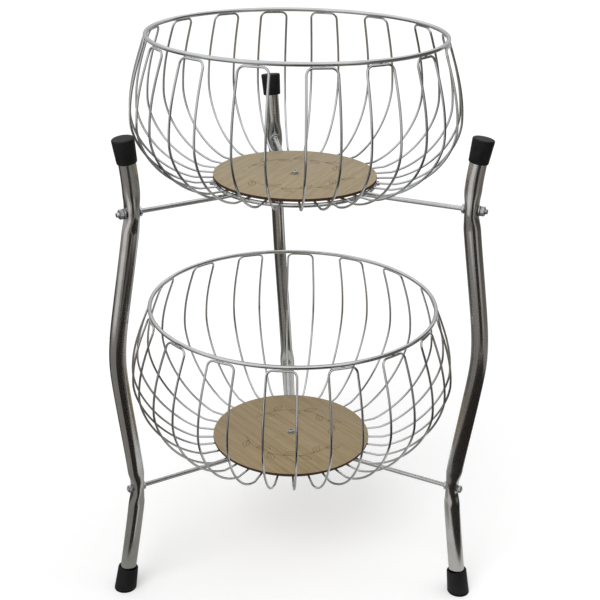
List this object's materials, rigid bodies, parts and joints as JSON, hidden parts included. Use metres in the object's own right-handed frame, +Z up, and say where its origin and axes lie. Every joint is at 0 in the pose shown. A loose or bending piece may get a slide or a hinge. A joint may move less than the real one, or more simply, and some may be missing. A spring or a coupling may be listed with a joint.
{
  "type": "two-tier wire storage basket stand",
  "caption": "Free-standing storage stand: bent tube legs with rubber ends carry one round wire bowl above another, each with a disc in its bottom.",
  "frame": {"origin": "on the floor, under the middle of the stand's bounding box", "axes": "+Z up, +X to the right and -Y towards the viewer, with one leg at the back (+Y) and one at each side of the front"},
  "size_m": [0.4554, 0.4792, 0.685],
  "materials": {
    "chrome": "polished",
    "zinc": "satin",
    "rubber": "matte",
    "board": "satin"
  },
  "bodies": {
    "root": {"leg_left": "chrome", "leg_right": "chrome", "leg_rear": "chrome", "cap_left": "rubber", "cap_right": "rubber", "cap_rear": "rubber", "foot_left": "rubber", "foot_right": "rubber", "foot_rear": "rubber", "lower_rim": "chrome", "lower_cage": "chrome", "lower_arm_left": "chrome", "lower_arm_right": "chrome", "lower_arm_rear": "chrome", "lower_washer_left": "zinc", "lower_washer_right": "zinc", "lower_washer_rear": "zinc", "lower_nut_left": "zinc", "lower_nut_right": "zinc", "lower_nut_rear": "zinc", "lower_disc": "board", "lower_disc_screw": "zinc", "lower_disc_washer": "zinc", "lower_clamp_strip": "zinc", "lower_clamp_nut": "zinc", "upper_rim": "chrome", "upper_cage": "chrome", "upper_arm_left": "chrome", "upper_arm_right": "chrome", "upper_arm_rear": "chrome", "upper_washer_left": "zinc", "upper_washer_right": "zinc", "upper_washer_rear": "zinc", "upper_nut_left": "zinc", "upper_nut_right": "zinc", "upper_nut_rear": "zinc", "upper_disc": "board", "upper_disc_screw": "zinc", "upper_disc_washer": "zinc", "upper_clamp_strip": "zinc", "upper_clamp_nut": "zinc"}
  },
  "joints": []
}
